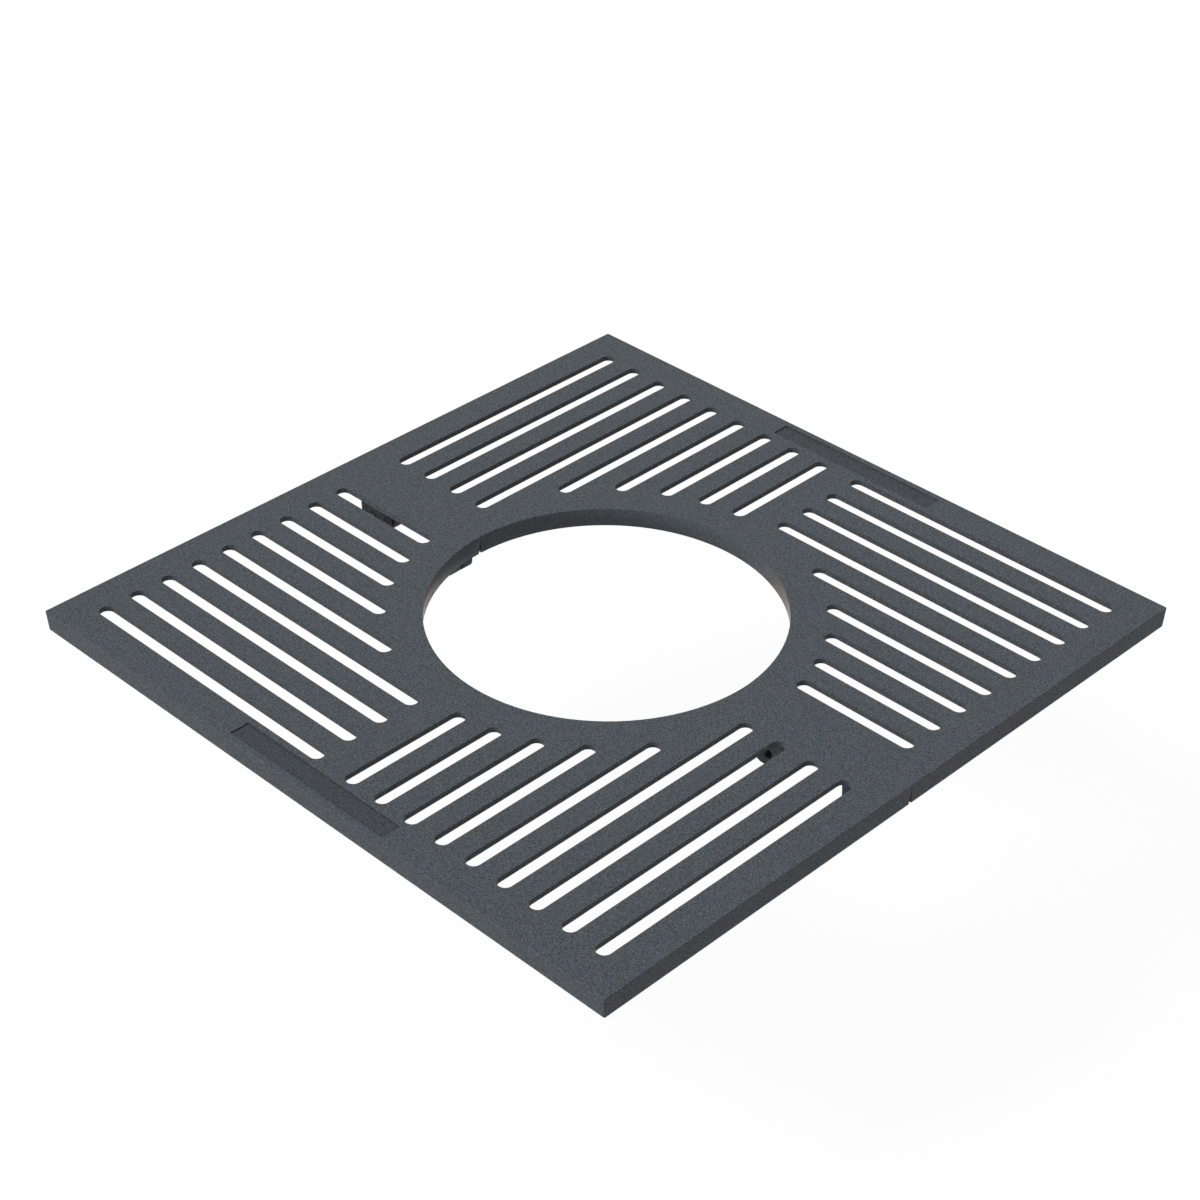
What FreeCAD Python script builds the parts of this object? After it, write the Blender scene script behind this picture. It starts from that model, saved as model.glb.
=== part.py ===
"""Square cast-iron tree grate in two bolted halves, in millimetres, +Z up.

Origin: centre of the tree opening, in the plane on which the rim rests.
The joint between the halves runs along X. The back half is the front half turned half a turn about Z.
"""
import FreeCAD
import Part
import Sketcher
import math
import os

V = FreeCAD.Vector
doc = FreeCAD.newDocument("TreeGrate")

# Driving sizes: alias, value, what it is
SIZES = [
    ("grate_length", 990, "outside length along the joint, at the top"),
    ("grate_width", 1000, "outside width across the joint, at the top"),
    ("rim_depth", 28, "depth of the rim, the joint flange and the ring"),
    ("web", 7.5, "thickness of the slotted plate"),
    ("wall", 10, "thickness of rim, flange and ring at their lower edge"),
    ("draft", 3, "moulding draft of the upright faces, degrees"),
    ("joint_draft", 4.5, "draft of the joint faces, degrees"),
    ("corner_radius", 2, "outer upright corners"),
    ("edge_radius", 1, "outer top edges"),
    ("opening_radius", 232, "tree opening, at the top"),
    ("opening_offset", 2.5, "each half's arc is centred this far beyond the joint"),
    ("ring_lift", 1.2, "the ring ends this far above the rim's lower edge"),
    ("ring_width", 45, "plain band between the opening and the slot ends"),
    ("margin", 45, "plain band between the outer edges and the slots"),
    ("joint_margin", 46, "plain band between the joint and the slots"),
    ("middle_band", 45.5, "plain band between the two quarters of a half"),
    ("slot_width", 20, "slots, which have round ends"),
    ("slot_count", 9, "slots in each quarter"),
    ("rib_width", 8, "ribs under the bars between slots"),
    ("rib_depth", 8.5, "ribs, below the plate"),
    ("rib_setback", 6, "from the opening's wall at its lower edge to the rib ends"),
    ("middle_rib", 12, "width of the rib under the middle band"),
    ("panel_length", 271, "bare sunk panel on the outer margin"),
    ("panel_width", 27, "the panel, across the margin"),
    ("panel_inset", 22.4, "from the outer edge to the panel's centre line"),
    ("panel_sink", 1.7, "depth of the panel"),
    ("lug_inner_gap", 58.5, "from the opening's edge to the inner lugs' centres"),
    ("lug_outer_gap", 66, "from the outer edge to the outer lugs' centres"),
    ("lug_width", 45.4, "lugs, in the plane of the rim's lower edge"),
    ("lug_thick", 18, "from the joint to the lugs' far faces"),
    ("lug_drop", 48, "lugs, below the rim's lower edge"),
    ("lug_corner", 12, "rounded lower corners of the lugs"),
    ("lug_hole", 13.5, "bolt holes through the lugs"),
    ("hole_drop", 30, "bolt holes, below the rim's lower edge"),
    ("bolt_dia", 12, "shank"),
    ("bolt_length", 60, "under the head"),
    ("bolt_chamfer", 1, "end of the shank"),
    ("hex_flats", 19, "across the flats of heads and nuts"),
    ("head_height", 7.5, "bolt head"),
    ("nut_height", 10, "nut"),
    ("nut_bore", 12.1, "bore of the nut"),
    ("washer_dia", 24, "washer, outside"),
    ("washer_bore", 13, "washer hole"),
    ("washer_thick", 2.5, "washer"),
]
sheet = doc.addObject("Spreadsheet::Sheet", "Sizes")
for row, (alias, value, note) in enumerate(SIZES, 1):
    sheet.set("A%d" % row, note)
    sheet.set("B%d" % row, str(value))
    sheet.setAlias("B%d" % row, alias)
doc.recompute()


class Size:
    """A length or angle with its present value and the expression over the sheet that drives it."""

    def __init__(self, value, text):
        self.value, self.text = float(value), text

    @staticmethod
    def of(other):
        return other if isinstance(other, Size) else Size(other, repr(other))

    def __add__(self, other):
        other = Size.of(other)
        return Size(self.value + other.value, "(%s + %s)" % (self.text, other.text))

    def __sub__(self, other):
        other = Size.of(other)
        return Size(self.value - other.value, "(%s - %s)" % (self.text, other.text))

    def __mul__(self, other):
        other = Size.of(other)
        return Size(self.value * other.value, "(%s * %s)" % (self.text, other.text))

    def __truediv__(self, other):
        other = Size.of(other)
        return Size(self.value / other.value, "(%s / %s)" % (self.text, other.text))

    def __neg__(self):
        return Size(-self.value, "(-1 * %s)" % self.text)


def root(square):
    """Square root, or 0 where the square is negative."""
    return Size(math.sqrt(max(square.value, 0)), "sqrt(max(%s; 0))" % square.text)


def larger(one, two):
    return Size(max(one.value, two.value), "max(%s; %s)" % (one.text, two.text))


def size(alias):
    return Size(sheet.get(alias), "Sizes." + alias)


half_length, half_width = size("grate_length") / 2, size("grate_width") / 2
depth, web, wall = size("rim_depth"), size("web"), size("wall")
radius, offset = size("opening_radius"), size("opening_offset")
slope = Size(math.tan(math.radians(sheet.get("draft"))), "tan(Sizes.draft * 1deg)")
lean = Size(math.cos(math.radians(sheet.get("draft"))), "cos(Sizes.draft * 1deg)")
inset = depth * slope
joint_inset = depth * Size(math.tan(math.radians(sheet.get("joint_draft"))), "tan(Sizes.joint_draft * 1deg)")
lug_inner = radius + size("lug_inner_gap")
lug_outer = half_length - size("lug_outer_gap")
under = depth - web
slot_radius = size("slot_width") / 2
slots = int(sheet.get("slot_count"))
pitch_x = (half_length - size("margin") - size("middle_band") / 2 - slot_radius * 2) / (size("slot_count") - 1)
pitch_y = (half_width - size("margin") - size("joint_margin") - slot_radius * 2) / (size("slot_count") - 1)
slot_line = radius + size("ring_width") + slot_radius
rib_line = radius + inset + size("rib_setback")
zero = Size(0, "0")


def bind(sketch, kind, refs, amount):
    """A sketch dimension driven by the sheet."""
    index = sketch.addConstraint(Sketcher.Constraint(kind, *refs, amount.value))
    sketch.setExpression("Constraints[%d]" % index, amount.text)


def fix(sketch, geo, point, x, y):
    """Holds a point of the sketch at x, y from its origin."""
    bind(sketch, "DistanceX", (-1, 1, geo, point), x)
    bind(sketch, "DistanceY", (-1, 1, geo, point), y)


def new_sketch(body, name, plane="XY_Plane", height=None):
    sketch = body.newObject("Sketcher::SketchObject", name)
    origin = [f for f in body.Origin.OriginFeatures if f.Role == plane][0]
    sketch.AttachmentSupport = [(origin, "")]
    sketch.MapMode = "FlatFace"
    if height is not None:
        sketch.setExpression("AttachmentOffset.Base.z", height.text)
    return sketch


def line(sketch, x1, y1, x2, y2):
    return sketch.addGeometry(Part.LineSegment(V(x1.value, y1.value, 0), V(x2.value, y2.value, 0)))


def rectangle(sketch, x1, y1, x2, y2):
    """Corners x1, y1 and x2, y2, both held."""
    ids = [line(sketch, x1, y1, x2, y1), line(sketch, x2, y1, x2, y2),
           line(sketch, x2, y2, x1, y2), line(sketch, x1, y2, x1, y1)]
    for i, a in enumerate(ids):
        sketch.addConstraint(Sketcher.Constraint("Coincident", a, 2, ids[(i + 1) % 4], 1))
        sketch.addConstraint(Sketcher.Constraint("Vertical" if i % 2 else "Horizontal", a))
    fix(sketch, ids[0], 1, x1, y1)
    fix(sketch, ids[2], 1, x2, y2)


def circle(sketch, x, y, r):
    geo = sketch.addGeometry(Part.Circle(V(x.value, y.value, 0), V(0, 0, 1), r.value))
    fix(sketch, geo, 3, x, y)
    bind(sketch, "Radius", (geo,), r)


def slot(sketch, x1, y1, x2, y2, r, along_x):
    """Round-ended slot between two end centres, x1, y1 being the lower or left one."""
    c1, c2 = V(x1.value, y1.value, 0), V(x2.value, y2.value, 0)
    side = V(0, r.value, 0) if along_x else V(-r.value, 0, 0)
    turn = math.pi / 2 if along_x else math.pi
    first = sketch.addGeometry(Part.ArcOfCircle(Part.Circle(c1, V(0, 0, 1), r.value), turn, turn + math.pi))
    right = sketch.addGeometry(Part.LineSegment(c1 - side, c2 - side))
    last = sketch.addGeometry(Part.ArcOfCircle(Part.Circle(c2, V(0, 0, 1), r.value), turn + math.pi, turn + 2 * math.pi))
    left = sketch.addGeometry(Part.LineSegment(c2 + side, c1 + side))
    for a, b in ((first, right), (right, last), (last, left), (left, first)):
        sketch.addConstraint(Sketcher.Constraint("Tangent", a, 2, b, 1))
    sketch.addConstraint(Sketcher.Constraint("Equal", first, last))
    fix(sketch, first, 3, x1, y1)
    fix(sketch, last, 3, x2, y2)
    bind(sketch, "Radius", (first,), r)


def bitten_plan(sketch, x, y_out, y_joint, r):
    """Half of the grate's plan: a rectangle from y_out to y_joint, bitten by the opening's arc."""
    reach = root(r * r - (offset - y_joint) * (offset - y_joint))
    start = math.atan2(y_joint.value - offset.value, -reach.value) % (2 * math.pi)
    end = math.atan2(y_joint.value - offset.value, reach.value) % (2 * math.pi)
    ids = [line(sketch, -x, y_out, x, y_out), line(sketch, x, y_out, x, y_joint),
           line(sketch, x, y_joint, reach, y_joint)]
    arc = sketch.addGeometry(Part.ArcOfCircle(Part.Circle(V(0, offset.value, 0), V(0, 0, 1), r.value), start, end))
    ids += [line(sketch, -reach, y_joint, -x, y_joint), line(sketch, -x, y_joint, -x, y_out)]
    chain = [(ids[0], 1, 2), (ids[1], 1, 2), (ids[2], 1, 2), (arc, 2, 1), (ids[3], 1, 2), (ids[4], 1, 2)]
    for i, (a, _, out) in enumerate(chain):
        b, into, _ = chain[(i + 1) % len(chain)]
        sketch.addConstraint(Sketcher.Constraint("Coincident", a, out, b, into))
    for geo, kind in zip(ids, ("Horizontal", "Vertical", "Horizontal", "Horizontal", "Vertical")):
        sketch.addConstraint(Sketcher.Constraint(kind, geo))
    fix(sketch, ids[0], 1, -x, y_out)
    fix(sketch, ids[1], 2, x, y_joint)
    bind(sketch, "DistanceY", (-1, 1, ids[3], 1), y_joint)
    fix(sketch, arc, 3, zero, offset)
    bind(sketch, "Radius", (arc,), r)


def lug_outline(sketch, x):
    """Tapered lug with rounded lower corners and its bolt hole, in the plane of the joint."""
    r, drop = size("lug_corner"), size("lug_drop")
    top = under + web / 2
    half_top = size("lug_width") / 2 + top * slope
    corner_x = size("lug_width") / 2 - (drop - r) * slope - r / lean
    corner_z = r - drop
    ends = [(x + corner_x).value, (x - corner_x).value]
    cz = corner_z.value
    tilt = math.radians(sheet.get("draft"))
    right_arc = sketch.addGeometry(Part.ArcOfCircle(
        Part.Circle(V(ends[0], cz, 0), V(0, 0, 1), r.value), -math.pi / 2, -tilt))
    left_arc = sketch.addGeometry(Part.ArcOfCircle(
        Part.Circle(V(ends[1], cz, 0), V(0, 0, 1), r.value), math.pi + tilt, 1.5 * math.pi))
    reach = r.value * math.cos(tilt)
    fall = r.value * math.sin(tilt)
    right = sketch.addGeometry(Part.LineSegment(
        V(ends[0] + reach, cz - fall, 0), V((x + half_top).value, top.value, 0)))
    crown = sketch.addGeometry(Part.LineSegment(
        V((x + half_top).value, top.value, 0), V((x - half_top).value, top.value, 0)))
    left = sketch.addGeometry(Part.LineSegment(
        V((x - half_top).value, top.value, 0), V(ends[1] - reach, cz - fall, 0)))
    foot = sketch.addGeometry(Part.LineSegment(
        V(ends[1], cz - r.value, 0), V(ends[0], cz - r.value, 0)))
    for a, b in ((right_arc, right), (left, left_arc), (left_arc, foot), (foot, right_arc)):
        sketch.addConstraint(Sketcher.Constraint("Tangent", a, 2, b, 1))
    for a, b in ((right, crown), (crown, left)):
        sketch.addConstraint(Sketcher.Constraint("Coincident", a, 2, b, 1))
    fix(sketch, crown, 1, x + half_top, top)
    fix(sketch, crown, 2, x - half_top, top)
    fix(sketch, right_arc, 3, x + corner_x, corner_z)
    fix(sketch, left_arc, 3, x - corner_x, corner_z)
    bind(sketch, "Radius", (right_arc,), r)
    bind(sketch, "Radius", (left_arc,), r)
    circle(sketch, x, -size("hole_drop"), size("lug_hole") / 2)


def extrude(body, kind, name, sketch, length, reverse=False):
    feature = body.newObject("PartDesign::" + kind, name)
    feature.Profile = sketch
    feature.Reversed = reverse
    feature.setExpression("Length", length.text)
    sketch.Visibility = False
    doc.recompute()
    return feature


def round_off(body, name, base, edges, amount):
    fillet = body.newObject("PartDesign::Fillet", name)
    fillet.Base = (base, ["Edge%d" % (i + 1) for i in edges])
    fillet.setExpression("Radius", amount.text)
    doc.recompute()
    return fillet


def lean_walls(body, name, base, low, high, level, angle="draft", joint=False):
    """Moulding draft on the joint faces, or on the other walls that stand from low to high.

    Each keeps its edge at the level.
    """
    walls, flats = [], []
    for i, face in enumerate(base.Shape.Faces):
        box = face.BoundBox
        if abs(box.ZMin - low.value) < 0.01 and abs(box.ZMax - high.value) < 0.01:
            if (box.YMin > -0.01) == joint:
                walls.append("Face%d" % (i + 1))
        elif box.ZLength < 0.01 and abs(box.ZMin - level.value) < 0.01:
            flats.append("Face%d" % (i + 1))
    draft = body.newObject("PartDesign::Draft", name)
    draft.Base = (base, walls)
    draft.NeutralPlane = (base, flats[:1])
    draft.Reversed = True
    draft.setExpression("Angle", "Sizes." + angle)
    doc.recompute()
    return draft


def ring_reach(line_radius, y):
    """How far from the middle a circle about the opening's centre lies at the depth y of the half."""
    return root(line_radius * line_radius - y * y)


def casting(name):
    """One half of the grate, y below 0."""
    body = doc.addObject("PartDesign::Body", name)
    body.Label = name

    # Solid slab with drafted sides, then its outer corners and top edges rounded
    plan = new_sketch(body, name + "_plan", height=depth)
    bitten_plan(plan, half_length, -half_width, zero, radius)
    slab = extrude(body, "Pad", name + "_slab", plan, depth, True)
    slab = lean_walls(body, name + "_outer_draft", slab, zero, depth, depth)
    slab = lean_walls(body, name + "_joint_draft", slab, zero, depth, depth, "joint_draft", True)
    upright = [i for i, e in enumerate(slab.Shape.Edges)
               if abs(e.Vertexes[0].Z - e.Vertexes[-1].Z) > 1 and e.BoundBox.YMax < -half_width.value / 2]
    corners = round_off(body, name + "_corners", slab, upright, size("corner_radius"))
    top = [i for i, e in enumerate(corners.Shape.Edges)
           if e.BoundBox.ZMin > depth.value - 0.01 and e.BoundBox.YMin < -offset.value
           and not (e.BoundBox.YMax < 1 and abs(e.BoundBox.XMax + e.BoundBox.XMin) < 1
                    and e.BoundBox.XLength < 2.2 * radius.value)]
    edges = round_off(body, name + "_edges", corners, top, size("edge_radius"))

    # Underside hollowed up to the plate, which leaves rim, joint flange and ring
    clear = inset + wall
    hollow = new_sketch(body, name + "_hollow_plan", height=zero)
    bitten_plan(hollow, half_length - clear, clear - half_width, -(joint_inset + wall), radius + clear)
    pocket = extrude(body, "Pocket", name + "_hollow", hollow, under, True)
    lean_walls(body, name + "_inner_draft", pocket, zero, under, zero)
    ring = new_sketch(body, name + "_ring_plan", height=zero)
    circle(ring, zero, offset, radius + clear)
    extrude(body, "Pocket", name + "_ring_foot", ring, size("ring_lift"), True)

    # Ribs under the middle band and under each bar
    thin = size("rib_width") / 2
    broad = size("middle_rib") / 2
    into_rim = inset + wall / 2
    spine = new_sketch(body, name + "_spine_plan", height=under)
    rectangle(spine, -broad, into_rim - half_width, broad, offset - rib_line)
    extrude(body, "Pad", name + "_spine", spine, size("rib_depth"), True)
    ribs_x = new_sketch(body, name + "_ribs_left_plan", height=under)
    ribs_y = new_sketch(body, name + "_ribs_right_plan", height=under)
    for k in range(1, slots):
        y = half_width - size("margin") - slot_radius - pitch_y * (slots - k - 0.5)
        reach = ring_reach(rib_line, y + offset)
        rectangle(ribs_x, into_rim - half_length, -y - thin, -reach, thin - y)
        x = half_length - size("margin") - slot_radius - pitch_x * (slots - k - 0.5)
        reach = larger(ring_reach(rib_line, x) - offset, into_rim)
        rectangle(ribs_y, x - thin, into_rim - half_width, x + thin, -reach)
    extrude(body, "Pad", name + "_ribs_left", ribs_x, size("rib_depth"), True)
    extrude(body, "Pad", name + "_ribs_right", ribs_y, size("rib_depth"), True)

    # Two lugs under the joint flange, and their mirror images
    lugs = new_sketch(body, name + "_lug_plan", "XZ_Plane", joint_inset)
    lug_outline(lugs, lug_inner)
    lug_outline(lugs, lug_outer)
    lug_pad = extrude(body, "Pad", name + "_lugs", lugs, size("lug_thick") - joint_inset)
    mirrored = body.newObject("PartDesign::Mirrored", name + "_lugs_mirrored")
    mirrored.Originals = [lug_pad]
    mirror = [f for f in body.Origin.OriginFeatures if f.Role == "YZ_Plane"][0]
    mirrored.MirrorPlane = (mirror, [""])
    body.Tip = mirrored
    doc.recompute()

    # Slots along X in the left quarter and along Y in the right one, cut short by the ring
    slots_x = new_sketch(body, name + "_slots_left_plan", height=depth)
    slots_y = new_sketch(body, name + "_slots_right_plan", height=depth)
    for k in range(slots):
        y = half_width - size("margin") - slot_radius - pitch_y * (slots - 1 - k)
        end = larger(size("middle_band") / 2 + slot_radius, ring_reach(slot_line, y + offset))
        slot(slots_x, size("margin") + slot_radius - half_length, -y, -end, -y, slot_radius, True)
        x = half_length - size("margin") - slot_radius - pitch_x * (slots - 1 - k)
        end = larger(size("joint_margin") + slot_radius, ring_reach(slot_line, x) - offset)
        slot(slots_y, x, size("margin") + slot_radius - half_width, x, -end, slot_radius, False)
    extrude(body, "Pocket", name + "_slots_left", slots_x, under)
    extrude(body, "Pocket", name + "_slots_right", slots_y, under)

    # Bare sunk panel on the outer margin
    panel = new_sketch(body, name + "_panel_plan", height=depth)
    middle = size("panel_inset") - half_width
    rectangle(panel, -size("panel_length") / 2, middle - size("panel_width") / 2,
              size("panel_length") / 2, middle + size("panel_width") / 2)
    extrude(body, "Pocket", name + "_panel", panel, size("panel_sink"))
    return body


def hexagon(sketch, flats):
    """Regular hexagon about the origin, two flats parallel to the sketch's X axis."""
    corner = flats / Size(math.sqrt(3), "sqrt(3)")
    points = [V(corner.value * math.cos(math.radians(a)), corner.value * math.sin(math.radians(a)), 0)
              for a in range(0, 360, 60)]
    ids = [sketch.addGeometry(Part.LineSegment(points[i], points[(i + 1) % 6])) for i in range(6)]
    guide = sketch.addGeometry(Part.Circle(V(0, 0, 0), V(0, 0, 1), corner.value), True)
    for i, a in enumerate(ids):
        sketch.addConstraint(Sketcher.Constraint("Coincident", a, 2, ids[(i + 1) % 6], 1))
        sketch.addConstraint(Sketcher.Constraint("PointOnObject", a, 1, guide))
    for a in ids[1:]:
        sketch.addConstraint(Sketcher.Constraint("Equal", ids[0], a))
    sketch.addConstraint(Sketcher.Constraint("Coincident", guide, 3, -1, 1))
    sketch.addConstraint(Sketcher.Constraint("Horizontal", ids[1]))
    bind(sketch, "Radius", (guide,), corner)


def bevel_hex(body, name, level, rise):
    """Turns off a hexagon's corners at a level, at 30 degrees; rise is 1 for the upper end, -1 for the lower."""
    flat, corner = size("hex_flats") * 0.475, size("hex_flats") * 0.65
    fall = (corner - flat) * Size(math.tan(math.radians(30)), "tan(30deg)")
    sketch = new_sketch(body, name + "_plan", "XZ_Plane")
    edge = level - fall * rise
    ids = [line(sketch, flat, level, corner, level), line(sketch, corner, level, corner, edge),
           line(sketch, corner, edge, flat, level)]
    for i, a in enumerate(ids):
        sketch.addConstraint(Sketcher.Constraint("Coincident", a, 2, ids[(i + 1) % 3], 1))
    fix(sketch, ids[0], 1, flat, level)
    fix(sketch, ids[0], 2, corner, level)
    fix(sketch, ids[1], 2, corner, edge)
    groove = body.newObject("PartDesign::Groove", name)
    groove.Profile = sketch
    groove.ReferenceAxis = (sketch, ["V_Axis"])
    groove.Angle = 360
    sketch.Visibility = False
    doc.recompute()


def along_joint_bolt(body, side, y):
    """Stands a fastener's own Z axis along Y, on the outer bolt hole of that side."""
    body.Placement = FreeCAD.Placement(V(0, 0, 0), FreeCAD.Rotation(V(1, 0, 0), -90))
    body.setExpression("Placement.Base.x", (lug_outer * side).text)
    body.setExpression("Placement.Base.y", y.text)
    body.setExpression("Placement.Base.z", (-size("hole_drop")).text)


def bolt(name, side):
    """Hex bolt, head at the front."""
    body = doc.addObject("PartDesign::Body", name)
    body.Label = name
    head = new_sketch(body, name + "_head_plan")
    hexagon(head, size("hex_flats"))
    extrude(body, "Pad", name + "_head", head, size("head_height"), True)
    bevel_hex(body, name + "_bevel", -size("head_height"), -1)
    shank = new_sketch(body, name + "_shank_plan")
    circle(shank, zero, zero, size("bolt_dia") / 2)
    pad = extrude(body, "Pad", name + "_shank", shank, size("bolt_length"))
    rims = [i for i, e in enumerate(pad.Shape.Edges) if e.BoundBox.ZMin > size("bolt_length").value - 0.01]
    chamfer = body.newObject("PartDesign::Chamfer", name + "_end")
    chamfer.Base = (pad, ["Edge%d" % (i + 1) for i in rims])
    chamfer.setExpression("Size", "Sizes.bolt_chamfer")
    along_joint_bolt(body, side, -(size("lug_thick") + size("washer_thick")))
    return body


def washer(name, side, y):
    body = doc.addObject("PartDesign::Body", name)
    body.Label = name
    ring = new_sketch(body, name + "_plan")
    circle(ring, zero, zero, size("washer_dia") / 2)
    circle(ring, zero, zero, size("washer_bore") / 2)
    extrude(body, "Pad", name + "_ring", ring, size("washer_thick"))
    along_joint_bolt(body, side, y)
    return body


def nut(name, side):
    """Hex nut at the back, bevelled at both ends."""
    body = doc.addObject("PartDesign::Body", name)
    body.Label = name
    plan = new_sketch(body, name + "_plan")
    hexagon(plan, size("hex_flats"))
    circle(plan, zero, zero, size("nut_bore") / 2)
    extrude(body, "Pad", name + "_block", plan, size("nut_height"))
    bevel_hex(body, name + "_bevel_far", size("nut_height"), 1)
    bevel_hex(body, name + "_bevel_near", zero, -1)
    along_joint_bolt(body, side, size("lug_thick") + size("washer_thick"))
    return body


front = casting("grate_half_front")
back = casting("grate_half_back")
back.Placement = FreeCAD.Placement(V(0, 0, 0), FreeCAD.Rotation(V(0, 0, 1), 180))
pieces = [front, back]
for word, side in (("left", -1), ("right", 1)):
    pieces += [bolt("tie_bolt_" + word, side), nut("nut_" + word, side),
               washer("washer_head_" + word, side, -(size("lug_thick") + size("washer_thick"))),
               washer("washer_nut_" + word, side, size("lug_thick"))]
doc.recompute()

for item in doc.Objects:
    if "Invalid" in item.State or "Error" in item.State:
        raise RuntimeError("%s did not rebuild: %s" % (item.Label, item.State))
for piece in pieces:
    if piece.Shape.isNull() or not piece.Shape.isValid() or len(piece.Shape.Solids) != 1:
        raise RuntimeError("%s is not one valid solid" % piece.Label)

os.makedirs("parts", exist_ok=True)
for piece in pieces:
    piece.Shape.exportStep("parts/%s.step" % piece.Label)
    box = piece.Shape.BoundBox
    print("%-20s volume %10.0f  x %7.2f %7.2f  y %7.2f %7.2f  z %7.2f %7.2f" % (
        piece.Label, piece.Shape.Volume, box.XMin, box.XMax, box.YMin, box.YMax, box.ZMin, box.ZMax))
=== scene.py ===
"""Looks of the two-piece cast iron tree grate. Metres, +Z up, the frame's own axes."""

import math

import bmesh
import bpy
from mathutils import Matrix, Vector


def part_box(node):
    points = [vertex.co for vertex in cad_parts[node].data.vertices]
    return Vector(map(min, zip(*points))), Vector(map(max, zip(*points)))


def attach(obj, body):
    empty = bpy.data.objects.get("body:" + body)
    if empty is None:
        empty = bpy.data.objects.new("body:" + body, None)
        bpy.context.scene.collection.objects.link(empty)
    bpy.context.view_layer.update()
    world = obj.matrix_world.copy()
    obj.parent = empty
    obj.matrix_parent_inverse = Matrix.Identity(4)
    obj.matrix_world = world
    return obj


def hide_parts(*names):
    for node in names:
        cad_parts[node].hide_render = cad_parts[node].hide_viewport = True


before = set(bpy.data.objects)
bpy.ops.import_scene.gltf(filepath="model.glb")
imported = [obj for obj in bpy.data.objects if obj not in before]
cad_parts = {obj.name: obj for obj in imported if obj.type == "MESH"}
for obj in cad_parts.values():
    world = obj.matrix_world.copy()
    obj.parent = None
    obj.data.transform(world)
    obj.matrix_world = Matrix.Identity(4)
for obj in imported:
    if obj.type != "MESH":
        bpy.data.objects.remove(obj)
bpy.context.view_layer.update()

MM = 0.001

# Camera
EYE = Vector((1.92588, -1.93738, 1.95477))
AIM = Vector((-0.01988, 0.00838, 0.028))
LENS_MM = 80
SENSOR_MM = 36

# Stage
FLOOR_LEVEL = -0.4
FLOOR_HALF_SIDE = 15.0
FLOOR_COLOUR = (0.55, 0.55, 0.55, 1)
WHITE = (1, 1, 1, 1)
SHADOW_SHARE = 0.08
OPEN_FLOOR_LIGHT = 0.9

# Light
SKY_STRENGTH = 0.47
KEY_AZIMUTH = math.radians(235)
KEY_HEIGHT = math.radians(44.5)
KEY_ANGLE = math.radians(36)
KEY_STRENGTH = 2.65
KEY_DISTANCE = 3

# Colours and grain of the castings; a noise scale is a count of grains for each metre
COOL_IRON = (0.0655, 0.0785, 0.0915, 1)
PLAIN_IRON = (0.073, 0.080, 0.087, 1)
BROWN_IRON = (0.085, 0.078, 0.077, 1)
# The warm brown below stands for the warm sheen seen at a grazing angle on two quarters of the opening's
# wall: a painted reflection
PAINTED_WARM_SHEEN = (0.094, 0.072, 0.054, 1)
SHEEN_TINT = (0.75, 0.88, 1.0, 1)
NOISE_TURN = (0.5, 0.7, 0.3)
GRAIN_SCALE = 500.0
MOTTLE_SCALE = 60.0
BROWN_SCALE = 95.0
BROWN_MOST = 0.35
SHADE_RANGE = (0.25, 1.8)
ROUGH_RANGE = (0.45, 0.37)
GRAIN_HEIGHT = 0.5 * MM
# PANEL_SHADE darkens the floors of the sunk panels: painted shade in the recess
PANEL_SHADE = 0.72

# The wall around the tree opening against the rest of the castings; its lighter level is painted light
RING_CALM_AND_LIGHT = 0.3
RING_PAINTED_LIGHT = 1.3
RING_RELIEF = (0.5, 0.4)
RING_SMOOTHER = -0.19
RING_GLOSS = (0.04, 0.022)

# Castings
EDGE_RADIUS = 0.8 * MM
EDGE_ANGLE = math.radians(35)
WELD_DISTANCE = 0.005 * MM
PANEL_HALF_LENGTH = 136 * MM
PANEL_MIDDLE = 477.6 * MM
PANEL_HALF_WIDTH = 14 * MM
PANEL_LEVEL = 26.3 * MM
PANEL_REACH = 1 * MM
RING_RADIUS = 232 * MM
RING_REACH = 5 * MM
RING_TOP = 27.3 * MM
# Where the painted warm reflection on the opening's wall begins and is full, by the product of X and Y
WARM_SHEEN_STARTS = 0.26 * RING_RADIUS ** 2
WARM_SHEEN_FULL = 0.5 * RING_RADIUS ** 2

# Fasteners
DULL_ZINC = (0.40, 0.41, 0.42, 1)
BRIGHT_ZINC = (0.62, 0.62, 0.60, 1)
ZINC_SCALE = 260.0
ZINC_ROUGHNESS = (0.3, 0.5)
ZINC_HEIGHT = 0.1 * MM
SMOOTH_ANGLE = math.radians(30)
BOLT_RADIUS = 6 * MM
NUT_BORE = 6.02 * MM
NUT_MOUTH = 6.7 * MM
WASHER_BORE = 6.5 * MM
WASHER_SOFT = 0.35 * MM
HEX_FLATS = 19 * MM
HEX_BEVEL = math.radians(30)
HEX_TOP = 0.475
THREAD_PITCH = 1.75 * MM
THREAD_DEPTH = 1.05 * MM
THREAD_LENGTH = 30 * MM
THREAD_STEEPNESS = 1.15
CREST_SHARE = 0.075
END_CHAMFER = 1.2 * MM
AROUND = 72


def node_maker(material):
    """Returns a function that adds a shader node, sets its inputs and gives the node back.

    Inputs are given by name, with _ for a space, or by number as i0, i1 and so on.
    """
    tree = material.node_tree

    def add(kind, settings=None, **inputs):
        node = tree.nodes.new(kind)
        for name, value in (settings or {}).items():
            setattr(node, name, value)
        for name, value in inputs.items():
            numbered = name[0] == "i" and name[1:].isdigit()
            socket = node.inputs[int(name[1:]) if numbered else name.replace("_", " ")]
            if isinstance(value, bpy.types.NodeSocket):
                tree.links.new(value, socket)
            else:
                socket.default_value = value
        return node

    return add


def math_node(add, operation, *values):
    """Adds a Math node and gives back its result."""
    inputs = {"i" + str(number): value for number, value in enumerate(values)}
    return add("ShaderNodeMath", {"operation": operation}, **inputs).outputs[0]


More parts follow.
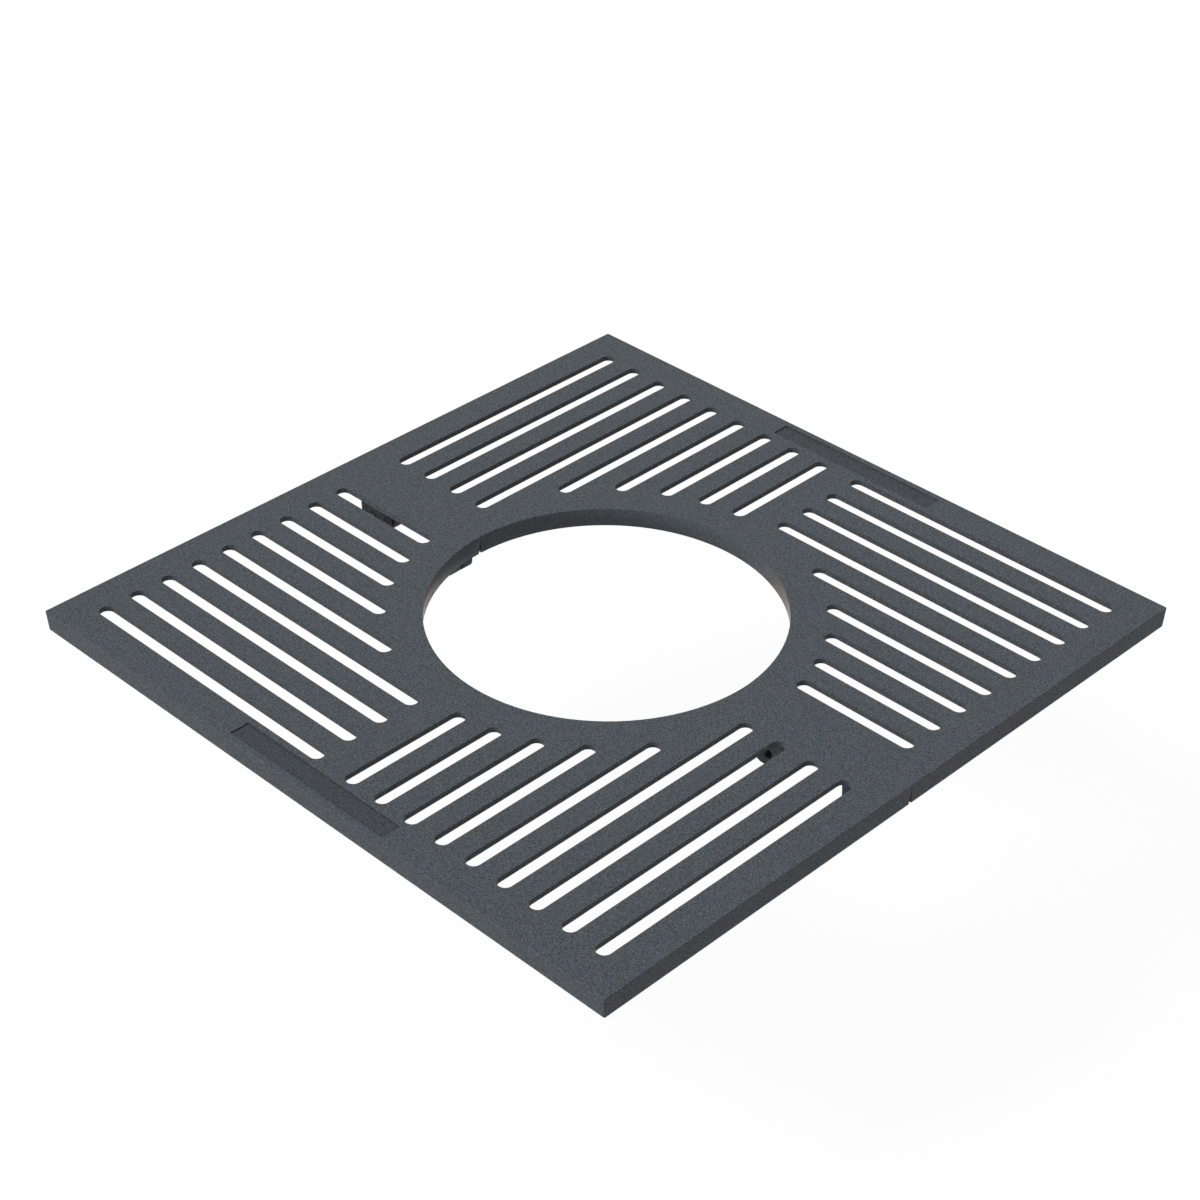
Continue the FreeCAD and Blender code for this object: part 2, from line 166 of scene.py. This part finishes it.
def ranged(add, value, to, source=(0.0, 1.0)):
    """Adds a Map Range node from the source range to the other and gives back its result."""
    return add("ShaderNodeMapRange", Value=value, From_Min=source[0], From_Max=source[1],
               To_Min=to[0], To_Max=to[1]).outputs[0]


def blend(add, share, first, second):
    """Adds a Mix node of two colours and gives back its result."""
    return add("ShaderNodeMix", {"data_type": "RGBA"}, i0=share, i6=first, i7=second).outputs[2]


def noise(add, place, scale, detail, roughness=0.5):
    """Adds a Noise Texture node and gives back its factor."""
    texture = add("ShaderNodeTexNoise", Vector=place, Scale=scale, Detail=detail, Roughness=roughness)
    return texture.outputs["Fac"]


def seen_ray(add):
    """1 for rays that come straight from the camera, by reflection or through glass."""
    path = add("ShaderNodeLightPath").outputs
    mirrored = math_node(add, "MAXIMUM", path["Is Glossy Ray"], path["Is Transmission Ray"])
    return math_node(add, "MAXIMUM", path["Is Camera Ray"], mirrored)


def new_material(name):
    material = bpy.data.materials.new(name)
    material.use_nodes = True
    material.node_tree.nodes.clear()
    return material


def panel_share(add, place):
    """1 on the floors of the two sunk panels, else 0."""
    axes = add("ShaderNodeSeparateXYZ", Vector=place).outputs
    along = math_node(add, "COMPARE", axes["X"], 0.0, PANEL_HALF_LENGTH)
    out = math_node(add, "ABSOLUTE", axes["Y"])
    across = math_node(add, "COMPARE", out, PANEL_MIDDLE, PANEL_HALF_WIDTH)
    deep = math_node(add, "COMPARE", axes["Z"], PANEL_LEVEL, PANEL_REACH)
    return math_node(add, "MULTIPLY", math_node(add, "MULTIPLY", along, across), deep)


def ring_share(add, place):
    """1 on the wall around the tree opening, else 0."""
    axes = add("ShaderNodeSeparateXYZ", Vector=place).outputs
    flat = add("ShaderNodeCombineXYZ", X=axes["X"], Y=axes["Y"]).outputs[0]
    away = add("ShaderNodeVectorMath", {"operation": "LENGTH"}, i0=flat).outputs["Value"]
    near = math_node(add, "COMPARE", away, RING_RADIUS, RING_REACH)
    below = math_node(add, "LESS_THAN", axes["Z"], RING_TOP)
    return math_node(add, "MULTIPLY", near, below)


def rust_share(add, place, ring):
    """Painted warm reflection: 1 in the middle of the two opposite quarters of the opening's wall that are
    seen at a grazing angle, fading to 0 towards their ends.
    """
    axes = add("ShaderNodeSeparateXYZ", Vector=place).outputs
    quarter = math_node(add, "MULTIPLY", axes["X"], axes["Y"])
    return math_node(add, "MULTIPLY", ring, ranged(add, quarter, (0.0, 1.0), (WARM_SHEEN_STARTS, WARM_SHEEN_FULL)))


def cast_iron():
    """Dark painted iron, sandy grain from the mould, faint blue and brown mottling.

    The wall around the tree opening is smoother and calmer in grain, lifted in level by painted light,
    with a painted warm reflection on the two quarters seen at a grazing angle; the sunk panel floors carry
    painted shade.
    """
    material = new_material("painted_cast_iron")
    add = node_maker(material)
    place = add("ShaderNodeTexCoord").outputs["Object"]
    turned = add("ShaderNodeMapping", Vector=place, Rotation=NOISE_TURN).outputs[0]
    grain = noise(add, turned, GRAIN_SCALE, 1.5, 0.6)
    ring = ring_share(add, place)

    cool = blend(add, noise(add, turned, MOTTLE_SCALE, 1.0), COOL_IRON, PLAIN_IRON)
    brown = ranged(add, noise(add, turned, BROWN_SCALE, 2.0), (0.0, BROWN_MOST), (0.5, 0.75))
    mottled = blend(add, brown, cool, BROWN_IRON)
    # Painted reflection: the warm brown on two quarters of the opening's wall stands in for their warm
    # sheen at a grazing angle
    with_warm_sheen = blend(add, rust_share(add, place, ring), mottled, PAINTED_WARM_SHEEN)

    shade = ranged(add, grain, SHADE_RANGE, (0.2, 0.8))
    # Painted light: on the opening's wall the grain is calmed and the level lifted towards a fixed
    # brighter value, for light that the wall gets too little of
    calm_and_lift_share = math_node(add, "MULTIPLY", ring, RING_CALM_AND_LIGHT)
    calmed_and_lit = add("ShaderNodeMix", i0=calm_and_lift_share, i2=shade, i3=RING_PAINTED_LIGHT).outputs[0]
    # Painted shade: the floors of the sunk panels are darkened as if shaded in their recess
    panel_painted_shade = ranged(add, panel_share(add, place), (1.0, PANEL_SHADE))
    level = math_node(add, "MULTIPLY", calmed_and_lit, panel_painted_shade)
    colour = add("ShaderNodeVectorMath", {"operation": "SCALE"}, i0=with_warm_sheen, i3=level).outputs[0]

    relief = ranged(add, ring, RING_RELIEF)
    bump = add("ShaderNodeBump", Strength=relief, Distance=GRAIN_HEIGHT, Height=grain).outputs[0]
    rough = ranged(add, grain, ROUGH_RANGE, (0.25, 0.75))
    smooth = math_node(add, "MULTIPLY_ADD", ring, RING_SMOOTHER, rough)
    shader = add("ShaderNodeBsdfPrincipled", Base_Color=colour, Roughness=smooth, Normal=bump,
                 Specular_IOR_Level=ranged(add, ring, RING_GLOSS), Specular_Tint=SHEEN_TINT)
    add("ShaderNodeOutputMaterial", Surface=shader.outputs[0])
    return material


def zinc():
    """Zinc-plated steel of the bolts, nuts and washers."""
    material = new_material("zinc_plated_steel")
    add = node_maker(material)
    place = add("ShaderNodeTexCoord").outputs["Object"]
    cloud = noise(add, place, ZINC_SCALE, 4.0, 0.6)
    tint = blend(add, cloud, DULL_ZINC, BRIGHT_ZINC)
    bump = add("ShaderNodeBump", Strength=0.2, Distance=ZINC_HEIGHT, Height=cloud).outputs[0]
    shader = add("ShaderNodeBsdfPrincipled", Base_Color=tint, Roughness=ranged(add, cloud, ZINC_ROUGHNESS),
                 Metallic=1.0, Normal=bump)
    add("ShaderNodeOutputMaterial", Surface=shader.outputs[0])
    return material


def floor_material():
    """Pale floor; straight to the camera it is lit white with the object's shadow faintly on it."""
    material = new_material("pale_floor")
    add = node_maker(material)
    plain = add("ShaderNodeBsdfDiffuse", Color=FLOOR_COLOUR)
    shaded = add("ShaderNodeBsdfDiffuse", Color=(SHADOW_SHARE, SHADOW_SHARE, SHADOW_SHARE, 1))
    glow = add("ShaderNodeEmission", Color=WHITE, Strength=1 - SHADOW_SHARE * OPEN_FLOOR_LIGHT)
    shown = add("ShaderNodeAddShader", i0=shaded.outputs[0], i1=glow.outputs[0])
    mixed = add("ShaderNodeMixShader", i0=seen_ray(add), i1=plain.outputs[0], i2=shown.outputs[0])
    below = add("ShaderNodeNewGeometry").outputs["Backfacing"]
    clear = add("ShaderNodeBsdfTransparent")
    sided = add("ShaderNodeMixShader", i0=below, i1=mixed.outputs[0], i2=clear.outputs[0])
    add("ShaderNodeOutputMaterial", Surface=sided.outputs[0])
    return material


def finish_mesh(name, mesh_in_progress, material, node):
    """Turns a bmesh into an object that stands for a frame node."""
    bmesh.ops.recalc_face_normals(mesh_in_progress, faces=mesh_in_progress.faces)
    mesh = bpy.data.meshes.new(name)
    mesh_in_progress.to_mesh(mesh)
    mesh_in_progress.free()
    mesh.materials.append(material)
    piece = bpy.data.objects.new(name, mesh)
    bpy.context.scene.collection.objects.link(piece)
    with bpy.context.temp_override(object=piece, selected_editable_objects=[piece], active_object=piece):
        bpy.ops.object.shade_smooth_by_angle(angle=SMOOTH_ANGLE)
    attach(piece, "root")
    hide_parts(node)
    return piece


def rings_to_mesh(rings, closed):
    """Skins a list of equal rings of points; the first and last are capped, or joined where closed."""
    bm = bmesh.new()
    rows = [[bm.verts.new(p) for p in ring] for ring in rings]
    count = len(rows[0])
    pairs = list(zip(rows, rows[1:]))
    if closed:
        pairs.append((rows[-1], rows[0]))
    for low, high in pairs:
        for i in range(count):
            j = (i + 1) % count
            bm.faces.new((low[i], low[j], high[j], high[i]))
    if not closed:
        bm.faces.new(rows[0])
        bm.faces.new(rows[-1])
    return bm


def turns():
    """Angles of a ring's points."""
    return [2 * math.pi * i / AROUND for i in range(AROUND)]


def round_ring(radius, level):
    return [(radius * math.cos(a), radius * math.sin(a), level) for a in turns()]


def hex_radius(angle):
    """Distance from the middle of a hexagon, corners on the X axis, to its side."""
    return HEX_FLATS / 2 / math.cos((angle % (math.pi / 3)) - math.pi / 6)


def hex_ring(level):
    return [(hex_radius(a) * math.cos(a), hex_radius(a) * math.sin(a), level) for a in turns()]


def bevelled_hex_ring(level, inward):
    """Where the bevel's cone cuts the hexagon's sides; inward is 1 or -1, the way into the piece."""
    points = []
    for a in turns():
        r = hex_radius(a)
        fall = (r - HEX_TOP * HEX_FLATS) * math.tan(HEX_BEVEL)
        points.append((r * math.cos(a), r * math.sin(a), level + inward * fall))
    return points


def thread_ring(radius, level, start, end):
    """A ring of the bolt's shank, cut by the thread between start and end."""
    points = []
    for i, a in enumerate(turns()):
        cut = 0.0
        if start < level <= end:
            phase = (level / THREAD_PITCH - i / AROUND) % 1
            fade = min(1, (level - start) / THREAD_PITCH)
            groove = THREAD_STEEPNESS * (1 - abs(2 * phase - 1)) - CREST_SHARE
            cut = THREAD_DEPTH * fade * min(1, max(0, groove))
        r = min(radius, radius - cut)
        r = min(r, radius - END_CHAMFER + max(0, end - level))
        points.append((r * math.cos(a), r * math.sin(a), level))
    return points


def along_y(bm, x, y, z):
    """Turns a piece's own Z axis to the frame's Y and puts its origin at x, y, z."""
    turn = Matrix.Rotation(math.radians(-90), 4, "X")
    bmesh.ops.transform(bm, matrix=Matrix.Translation((x, y, z)) @ turn, verts=bm.verts)


def bolt(node, material, head_height, seat):
    """Hex bolt with its head towards -Y; seat is the frame Y of the head's underside."""
    low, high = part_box(node)
    length = high.y - seat
    step = THREAD_PITCH / 10
    rings = [round_ring(HEX_TOP * HEX_FLATS, -head_height), bevelled_hex_ring(-head_height, 1),
             hex_ring(0), round_ring(BOLT_RADIUS, 0)]
    start = length - THREAD_LENGTH
    levels = [start + step * i for i in range(int(THREAD_LENGTH / step) + 1)]
    rings += [thread_ring(BOLT_RADIUS, level, start, length) for level in levels + [length]]
    bm = rings_to_mesh(rings, False)
    along_y(bm, (low.x + high.x) / 2, seat, (low.z + high.z) / 2)
    return finish_mesh(node + "_zinc", bm, material, node)


def nut(node, material):
    low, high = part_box(node)
    height = high.y - low.y
    face = HEX_TOP * HEX_FLATS
    lead = NUT_MOUTH - NUT_BORE
    rings = [round_ring(NUT_MOUTH, 0), round_ring(face, 0), bevelled_hex_ring(0, 1),
             bevelled_hex_ring(height, -1), round_ring(face, height), round_ring(NUT_MOUTH, height),
             round_ring(NUT_BORE, height - lead), round_ring(NUT_BORE, lead)]
    bm = rings_to_mesh(rings, True)
    along_y(bm, (low.x + high.x) / 2, low.y, (low.z + high.z) / 2)
    return finish_mesh(node + "_zinc", bm, material, node)


def washer(node, material):
    low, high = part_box(node)
    thick = high.y - low.y
    radius = (high.x - low.x) / 2
    bore = WASHER_BORE
    soft = WASHER_SOFT
    rings = [round_ring(bore, 0), round_ring(radius - soft, 0), round_ring(radius, soft),
             round_ring(radius, thick - soft), round_ring(radius - soft, thick),
             round_ring(bore + soft, thick), round_ring(bore, thick - soft)]
    bm = rings_to_mesh(rings, True)
    along_y(bm, (low.x + high.x) / 2, low.y, (low.z + high.z) / 2)
    return finish_mesh(node + "_zinc", bm, material, node)


def dress_castings(material):
    for name in ("grate_half_front", "grate_half_back"):
        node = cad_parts[name]
        node.data.materials.clear()
        node.data.materials.append(material)
        weld = node.modifiers.new("joined_facets", "WELD")
        weld.merge_threshold = WELD_DISTANCE
        edges = node.modifiers.new("softened_edges", "BEVEL")
        edges.width = EDGE_RADIUS
        edges.segments = 2
        edges.limit_method = "ANGLE"
        edges.angle_limit = EDGE_ANGLE
        edges.harden_normals = True


def make_stage():
    bm = bmesh.new()
    side = FLOOR_HALF_SIDE
    corners = ((-side, -side), (side, -side), (side, side), (-side, side))
    bm.faces.new([bm.verts.new((x, y, FLOOR_LEVEL)) for x, y in corners])
    mesh = bpy.data.meshes.new("floor")
    bm.to_mesh(mesh)
    bm.free()
    mesh.materials.append(floor_material())
    floor = bpy.data.objects.new("floor", mesh)
    bpy.context.scene.collection.objects.link(floor)


def make_light():
    world = bpy.data.worlds.new("studio")
    bpy.context.scene.world = world
    world.use_nodes = True
    world.node_tree.nodes.clear()
    add = node_maker(world)
    sky = add("ShaderNodeBackground", Color=WHITE, Strength=SKY_STRENGTH)
    backdrop = add("ShaderNodeBackground", Color=WHITE, Strength=1.0)
    mixed = add("ShaderNodeMixShader", i0=seen_ray(add), i1=sky.outputs[0], i2=backdrop.outputs[0])
    add("ShaderNodeOutputWorld", Surface=mixed.outputs[0])

    lamp = bpy.data.lights.new("key", "SUN")
    lamp.angle = KEY_ANGLE
    lamp.energy = KEY_STRENGTH
    key = bpy.data.objects.new("key", lamp)
    level = math.cos(KEY_HEIGHT)
    towards = Vector((level * math.cos(KEY_AZIMUTH), level * math.sin(KEY_AZIMUTH), math.sin(KEY_HEIGHT)))
    key.location = KEY_DISTANCE * towards
    key.rotation_euler = towards.to_track_quat("Z", "Y").to_euler()
    bpy.context.scene.collection.objects.link(key)


def make_camera():
    data = bpy.data.cameras.new("camera")
    data.lens = LENS_MM
    data.sensor_width = SENSOR_MM
    camera = bpy.data.objects.new("camera", data)
    camera.location = EYE
    camera.rotation_euler = (AIM - EYE).to_track_quat("-Z", "Y").to_euler()
    bpy.context.scene.collection.objects.link(camera)
    bpy.context.scene.camera = camera


bpy.context.scene.view_settings.view_transform = "Standard"
make_camera()
make_stage()
make_light()
dress_castings(cast_iron())
plated = zinc()
for side in ("left", "right"):
    head_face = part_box("tie_bolt_" + side)[0].y
    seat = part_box("washer_head_" + side)[0].y
    bolt("tie_bolt_" + side, plated, seat - head_face, seat)
    nut("nut_" + side, plated)
    washer("washer_head_" + side, plated)
    washer("washer_nut_" + side, plated)
